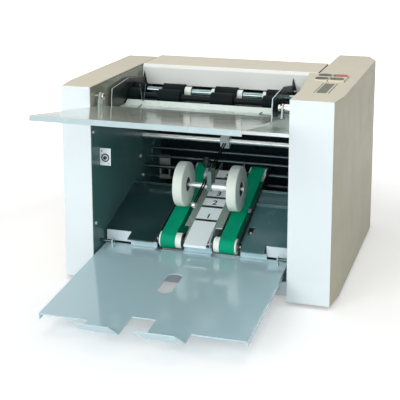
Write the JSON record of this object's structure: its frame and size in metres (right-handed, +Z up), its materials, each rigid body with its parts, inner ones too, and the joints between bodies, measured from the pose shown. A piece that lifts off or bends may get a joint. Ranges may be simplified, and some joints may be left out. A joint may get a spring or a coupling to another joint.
{
  "type": "paper folding machine",
  "caption": "Desktop friction paper folding machine with a lacquered flip-over lid, inclined belt delivery under rolling stacker wheels, a tilting delivery tray and a keypad.",
  "frame": {"origin": "middle of the footprint, tray and lid included, on the surface the feet stand on", "axes": "+X to the control panel side, +Y to the feed side, +Z up; the delivery tray points to -Y"},
  "size_m": [0.5, 0.7397, 0.363],
  "materials": {
    "cover_white": "satin off-white powder coat",
    "frame_teal": "gloss dark teal-grey paint",
    "tray_bluegrey": "gloss blue-grey paint",
    "shelf_pale": "satin pale grey",
    "steel": "bright ground steel",
    "zinc": "zinc-plated sheet",
    "black_rubber": "matte",
    "belt_green": "fine fabric-backed belt",
    "hub_white": "moulded",
    "black_plastic": "moulded",
    "strip_white": "printed label stock",
    "mark_black": "printed bars",
    "key_dark": "membrane key",
    "key_red": "key cap",
    "key_green": "key cap",
    "lcd": "display window",
    "board_green": "circuit board",
    "motor_grey": "cast and painted"
  },
  "bodies": {
    "machine": {"base_pan": "frame_teal", "control_board": "board_green", "conveyor_deck": "frame_teal", "corner_brackets": "shelf_pale", "cross_bars": "steel", "cross_shelf": "shelf_pale", "display_window": "lcd", "drive_motor": "motor_grey", "feed_table": "shelf_pale", "feet": "black_rubber", "front_sill": "tray_bluegrey", "latch_plate": "shelf_pale", "left_chute_floor": "frame_teal", "left_delivery_belt": "belt_green", "left_roller_bracket": "zinc", "left_side_cover": "cover_white", "left_side_frame": "frame_teal", "lid_pivots": "steel", "lower_fold_plate": "frame_teal", "number_strip": "strip_white", "power_inlet": "black_plastic", "rear_cover": "cover_white", "right_chute_floor": "frame_teal", "right_delivery_belt": "belt_green", "right_roller_bracket": "zinc", "right_side_cover": "cover_white", "right_side_frame": "frame_teal", "separator_pad": "zinc", "stacker_shaft": "steel", "strip_marks": "mark_black", "switch_housing": "black_plastic", "top_cover": "cover_white", "tray_pins": "steel", "upper_fold_plate": "zinc", "wall_screws": "steel"},
    "rear_roller": {"rear_fold_roller_shaft": "steel", "rear_fold_roller_rubber": "black_rubber"},
    "front_roller": {"front_fold_roller_shaft": "steel", "front_fold_roller_rubber": "black_rubber"},
    "lower_roller": {"lower_fold_roller": "black_rubber"},
    "feed": {"feed_roller": "black_rubber"},
    "front_pulleys": {"front_belt_shaft": "steel", "front_belt_pulleys": "hub_white"},
    "rear_pulleys": {"rear_belt_rollers": "hub_white"},
    "lid": {"flip_lid": "tray_bluegrey"},
    "tray": {"delivery_tray": "tray_bluegrey"},
    "arm": {"arm_clamp": "zinc", "arm_rails": "steel"},
    "carriage": {"wheel_carriage": "zinc", "wheel_axle": "steel"},
    "knob": {"clamp_knob": "black_plastic"},
    "left_wheel": {"left_stacker_wheel": "hub_white"},
    "right_wheel": {"right_stacker_wheel": "hub_white"},
    "key_a": {"dark_key_rear": "key_dark"},
    "key_b": {"dark_key_front": "key_dark"},
    "key_stop": {"red_stop_key": "key_red"},
    "key_start": {"green_start_key": "key_green"},
    "rocker": {"power_switch": "black_plastic"},
    "left_guide": {"left_side_guide": "zinc"},
    "right_guide": {"right_side_guide": "zinc"}
  },
  "joints": [
    {"name": "lid_hinge", "type": "hinge", "parent": "machine", "child": "lid", "pos_m": [0, -0.0731, 0.338], "axis": [-1, 0, 0], "range_deg": [0, 170]},
    {"name": "tray_hinge", "type": "hinge", "parent": "machine", "child": "tray", "pos_m": [0, -0.0731, 0.069], "axis": [-1, 0, 0], "range_deg": [0, 40]},
    {"name": "arm_lift", "type": "hinge", "parent": "machine", "child": "arm", "pos_m": [-0.014, 0.1509, 0.2145], "axis": [-1, 0, 0], "range_deg": [0, 25]},
    {"name": "carriage_slide", "type": "slide", "parent": "arm", "child": "carriage", "axis": [0, 0.9494, 0.314], "range_m": [-0.06, 0.07]},
    {"name": "clamp_knob_turn", "type": "hinge", "parent": "carriage", "child": "knob", "pos_m": [-0.014, 0.02565, 0.20468], "axis": [0, -0.314, 0.9494], "range_deg": [0, 360]},
    {"name": "left_wheel_spin", "type": "hinge", "parent": "carriage", "child": "left_wheel", "pos_m": [-0.057, 0.0189, 0.1609], "axis": [1, 0, 0], "continuous": true},
    {"name": "right_wheel_spin", "type": "hinge", "parent": "carriage", "child": "right_wheel", "pos_m": [0.045, 0.0189, 0.1609], "axis": [1, 0, 0], "continuous": true},
    {"name": "rear_roller_spin", "type": "hinge", "parent": "machine", "child": "rear_roller", "pos_m": [0, 0.0949, 0.32], "axis": [1, 0, 0], "continuous": true},
    {"name": "front_roller_spin", "type": "hinge", "parent": "machine", "child": "front_roller", "pos_m": [0, 0.0669, 0.314], "axis": [1, 0, 0], "continuous": true},
    {"name": "lower_roller_spin", "type": "hinge", "parent": "machine", "child": "lower_roller", "pos_m": [0, 0.0909, 0.291], "axis": [1, 0, 0], "continuous": true},
    {"name": "feed_roller_spin", "type": "hinge", "parent": "machine", "child": "feed", "pos_m": [0, 0.2129, 0.306], "axis": [1, 0, 0], "continuous": true},
    {"name": "rear_pulley_spin", "type": "hinge", "parent": "machine", "child": "rear_pulleys", "pos_m": [0, 0.1629, 0.1478], "axis": [1, 0, 0], "continuous": true},
    {"name": "front_pulley_spin", "type": "hinge", "parent": "machine", "child": "front_pulleys", "pos_m": [0, -0.0531, 0.0764], "axis": [1, 0, 0], "continuous": true},
    {"name": "rear_dark_key_press", "type": "slide", "parent": "machine", "child": "key_a", "axis": [0, 0, -1], "range_m": [0, 0.0015], "stiffness_N_per_m": 300},
    {"name": "front_dark_key_press", "type": "slide", "parent": "machine", "child": "key_b", "axis": [0, 0, -1], "range_m": [0, 0.0015], "stiffness_N_per_m": 300},
    {"name": "stop_key_press", "type": "slide", "parent": "machine", "child": "key_stop", "axis": [0, 0, -1], "range_m": [0, 0.0015], "stiffness_N_per_m": 300},
    {"name": "start_key_press", "type": "slide", "parent": "machine", "child": "key_start", "axis": [0, 0, -1], "range_m": [0, 0.0015], "stiffness_N_per_m": 300},
    {"name": "power_switch_rock", "type": "hinge", "parent": "machine", "child": "rocker", "pos_m": [-0.1, 0.3359, 0.056], "axis": [-1, 0, 0], "range_deg": [0, 9]},
    {"name": "left_guide_slide", "type": "slide", "parent": "machine", "child": "left_guide", "axis": [1, 0, 0], "range_m": [0, 0.08]},
    {"name": "right_guide_slide", "type": "slide", "parent": "machine", "child": "right_guide", "axis": [-1, 0, 0], "range_m": [0, 0.08]}
  ],
  "couplings": [
    {"joint": "front_roller_spin", "follows": "rear_roller_spin", "ratio": -1},
    {"joint": "lower_roller_spin", "follows": "rear_roller_spin", "ratio": -1},
    {"joint": "rear_pulley_spin", "follows": "front_pulley_spin", "ratio": 1},
    {"joint": "right_guide_slide", "follows": "left_guide_slide", "ratio": 1}
  ]
}
